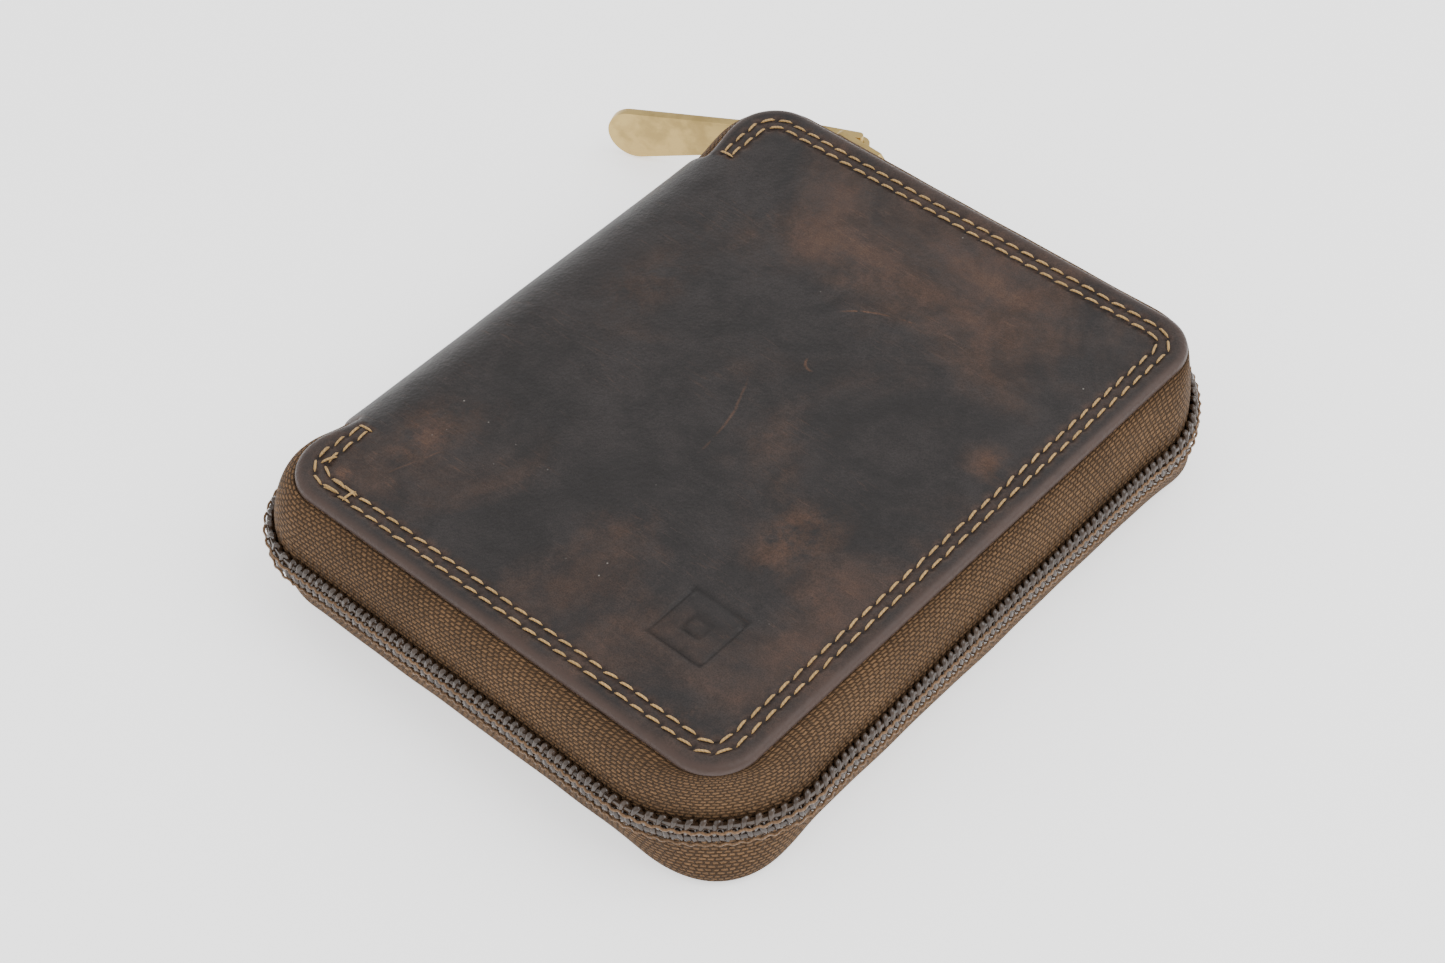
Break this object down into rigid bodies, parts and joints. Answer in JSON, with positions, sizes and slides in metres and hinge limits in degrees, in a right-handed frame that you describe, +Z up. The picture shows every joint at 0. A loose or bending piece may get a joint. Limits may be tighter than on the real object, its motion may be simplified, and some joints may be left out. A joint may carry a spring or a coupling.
{
  "type": "zip-around wallet",
  "caption": "Zip-around bifold leather wallet lying closed, with a folding spine, woven zip tapes, a slider with a tongue pull, card slots and a zipped coin pocket.",
  "frame": {"origin": "middle of the outer face of the back cover, which the closed wallet lies on", "axes": "+X from the spine to the opening side, +Y along the spine to the side where the slider is parked, +Z up through the front cover"},
  "size_m": [0.1288, 0.1305, 0.0253],
  "materials": {
    "cover_leather": "waxed pull-up leather, worn satin",
    "inner_leather": "smooth satin leather",
    "board": "matt stiffening board",
    "lining": "twill lining",
    "tape": "coarse woven tape",
    "coil": "glossy nylon coil",
    "thread": "waxed sewing thread",
    "antique_brass": "brushed antique brass",
    "window": "clear film"
  },
  "bodies": {
    "root": {"back_cover": "cover_leather", "back_board": "board", "back_lining": "lining", "note_panel": "lining", "card_panel_1": "inner_leather", "card_panel_2": "inner_leather", "card_panel_3": "inner_leather", "card_panel_4": "inner_leather", "lower_zip_tape": "tape", "lower_zip_coil": "coil", "lower_top_stop": "antique_brass"},
    "spine": {"spine_leather": "cover_leather", "spine_lining": "lining", "near_zip_end": "tape", "far_zip_end": "tape", "near_coil_end": "coil", "bottom_stop": "antique_brass"},
    "front_half": {"front_cover": "cover_leather", "front_board": "board", "front_lining": "lining", "cover_stitching": "thread", "upper_zip_tape": "tape", "upper_zip_coil": "coil", "upper_top_stop": "antique_brass", "coin_pocket_back": "lining", "coin_pocket_rim": "lining", "coin_pocket_front": "inner_leather", "coin_zip_tapes": "tape", "coin_zip_coils": "coil", "coin_zip_stops": "antique_brass", "id_window": "window", "id_window_frame": "inner_leather"},
    "slider": {"slider_body": "antique_brass", "slider_bail": "antique_brass"},
    "link": {"pull_link": "antique_brass"},
    "tab": {"pull_tab": "antique_brass"},
    "coin_slider": {"coin_slider_body": "antique_brass", "coin_slider_bail": "antique_brass"},
    "coin_pull": {"coin_pull": "antique_brass"}
  },
  "joints": [
    {"name": "spine_fold", "type": "hinge", "parent": "root", "child": "spine", "pos_m": [-0.04727, 0, 0.00323], "axis": [0, -1, 0], "range_deg": [0, 90]},
    {"name": "cover_fold", "type": "hinge", "parent": "spine", "child": "front_half", "pos_m": [-0.04727, 0, 0.02177], "axis": [0, -1, 0], "range_deg": [0, 90]},
    {"name": "zip_slide", "type": "slide", "parent": "root", "child": "slider", "axis": [1, 0, 0], "range_m": [0, 0.057]},
    {"name": "link_swing", "type": "hinge", "parent": "slider", "child": "link", "pos_m": [-0.03405, 0.06625, 0.0125], "axis": [0, 0, 1], "range_deg": [-150, 0]},
    {"name": "tab_swing", "type": "hinge", "parent": "link", "child": "tab", "pos_m": [-0.04136, 0.063, 0.0125], "axis": [0, 0, 1], "range_deg": [-45, 0]},
    {"name": "coin_zip_slide", "type": "slide", "parent": "front_half", "child": "coin_slider", "axis": [0, 1, 0], "range_m": [0, 0.068]},
    {"name": "coin_pull_flip", "type": "hinge", "parent": "coin_slider", "child": "coin_pull", "pos_m": [0.024, -0.0355, 0.0155], "axis": [1, 0, 0], "range_deg": [-170, 0]}
  ],
  "couplings": [
    {"joint": "cover_fold", "follows": "spine_fold", "ratio": 1},
    {"joint": "zip_slide", "follows": "spine_fold", "m_per_rad": 0.036287},
    {"joint": "link_swing", "follows": "spine_fold", "ratio": -1.6667}
  ]
}
